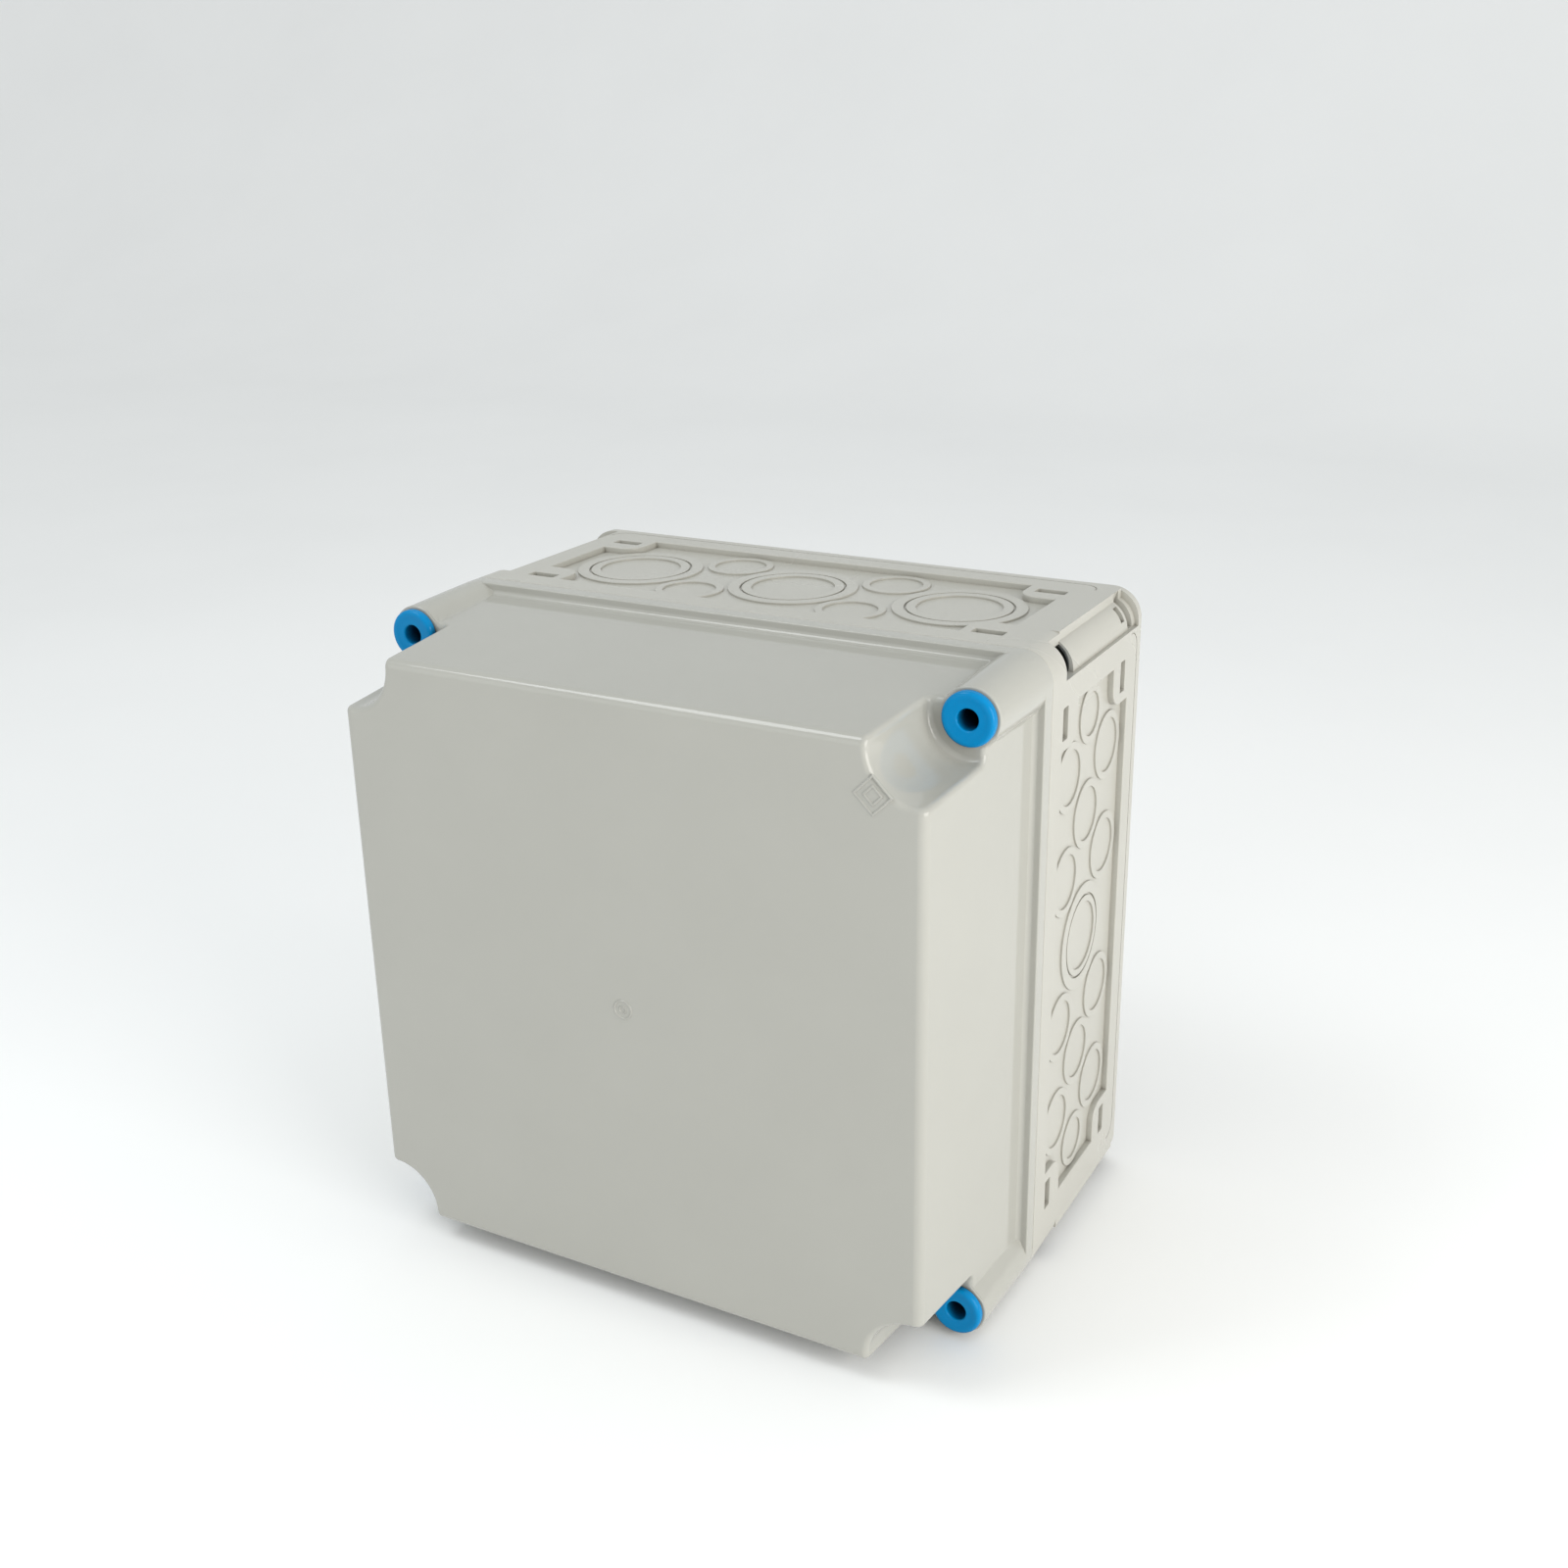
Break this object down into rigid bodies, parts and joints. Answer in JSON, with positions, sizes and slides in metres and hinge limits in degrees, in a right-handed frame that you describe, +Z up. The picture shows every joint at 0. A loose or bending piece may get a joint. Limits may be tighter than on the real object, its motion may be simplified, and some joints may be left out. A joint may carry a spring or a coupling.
{
  "type": "electrical junction box",
  "caption": "Square insulated wall-mounted junction box: knockout base, deep opaque cover on quarter-turn fasteners, mounting plate and rail terminals inside.",
  "frame": {"origin": "centre of the flat back face, which lies against the wall", "axes": "+Z up, +X right as seen from the front, the front faces -Y, the wall is at +Y"},
  "size_m": [0.3, 0.2144, 0.3],
  "materials": {
    "housing_grey": "fine satin moulded grey",
    "cover_grey": "glossy moulded grey",
    "fastener_blue": "glossy moulded blue",
    "seal_rubber": "matt foam rubber",
    "zinc_steel": "zinc plated sheet",
    "screw_steel": "bright zinc plated",
    "terminal_grey": "moulded grey polyamide",
    "terminal_blue": "moulded blue polyamide",
    "terminal_green": "moulded green polyamide"
  },
  "bodies": {
    "base_body": {"base": "housing_grey", "mounting_plate": "zinc_steel", "plate_screw_upper_right": "screw_steel", "plate_screw_lower_right": "screw_steel", "plate_screw_lower_left": "screw_steel", "plate_screw_upper_left": "screw_steel", "din_rail": "zinc_steel", "rail_screw_left": "screw_steel", "rail_screw_right": "screw_steel", "end_clamp_left": "terminal_grey", "end_clamp_right": "terminal_grey", "terminal_1": "terminal_green", "terminal_screw_1_upper": "screw_steel", "terminal_screw_1_lower": "screw_steel", "terminal_2": "terminal_blue", "terminal_screw_2_upper": "screw_steel", "terminal_screw_2_lower": "screw_steel", "terminal_3": "terminal_grey", "terminal_screw_3_upper": "screw_steel", "terminal_screw_3_lower": "screw_steel", "terminal_4": "terminal_grey", "terminal_screw_4_upper": "screw_steel", "terminal_screw_4_lower": "screw_steel", "terminal_5": "terminal_grey", "terminal_screw_5_upper": "screw_steel", "terminal_screw_5_lower": "screw_steel", "terminal_6": "terminal_grey", "terminal_screw_6_upper": "screw_steel", "terminal_screw_6_lower": "screw_steel", "terminal_7": "terminal_grey", "terminal_screw_7_upper": "screw_steel", "terminal_screw_7_lower": "screw_steel", "fixing_cap_upper_right": "housing_grey", "fixing_cap_lower_right": "housing_grey", "fixing_cap_lower_left": "housing_grey", "fixing_cap_upper_left": "housing_grey"},
    "cover_body": {"cover": "cover_grey", "cover_gasket": "seal_rubber", "fastener_seal_upper_right": "seal_rubber", "fastener_seal_lower_right": "seal_rubber", "fastener_seal_lower_left": "seal_rubber", "fastener_seal_upper_left": "seal_rubber"},
    "fastener_body_upper_right": {"fastener_upper_right": "fastener_blue"},
    "fastener_body_lower_right": {"fastener_lower_right": "fastener_blue"},
    "fastener_body_lower_left": {"fastener_lower_left": "fastener_blue"},
    "fastener_body_upper_left": {"fastener_upper_left": "fastener_blue"}
  },
  "joints": [
    {"name": "cover_lift", "type": "slide", "parent": "base_body", "child": "cover_body", "axis": [0, -1, 0], "range_m": [0, 0.15]},
    {"name": "fastener_turn_upper_right", "type": "hinge", "parent": "cover_body", "child": "fastener_body_upper_right", "pos_m": [0.136, -0.165, 0.136], "axis": [0, 1, 0], "range_deg": [0, 90]},
    {"name": "fastener_turn_lower_right", "type": "hinge", "parent": "cover_body", "child": "fastener_body_lower_right", "pos_m": [0.136, -0.165, -0.136], "axis": [0, 1, 0], "range_deg": [0, 90]},
    {"name": "fastener_turn_lower_left", "type": "hinge", "parent": "cover_body", "child": "fastener_body_lower_left", "pos_m": [-0.136, -0.165, -0.136], "axis": [0, 1, 0], "range_deg": [0, 90]},
    {"name": "fastener_turn_upper_left", "type": "hinge", "parent": "cover_body", "child": "fastener_body_upper_left", "pos_m": [-0.136, -0.165, 0.136], "axis": [0, 1, 0], "range_deg": [0, 90]}
  ]
}
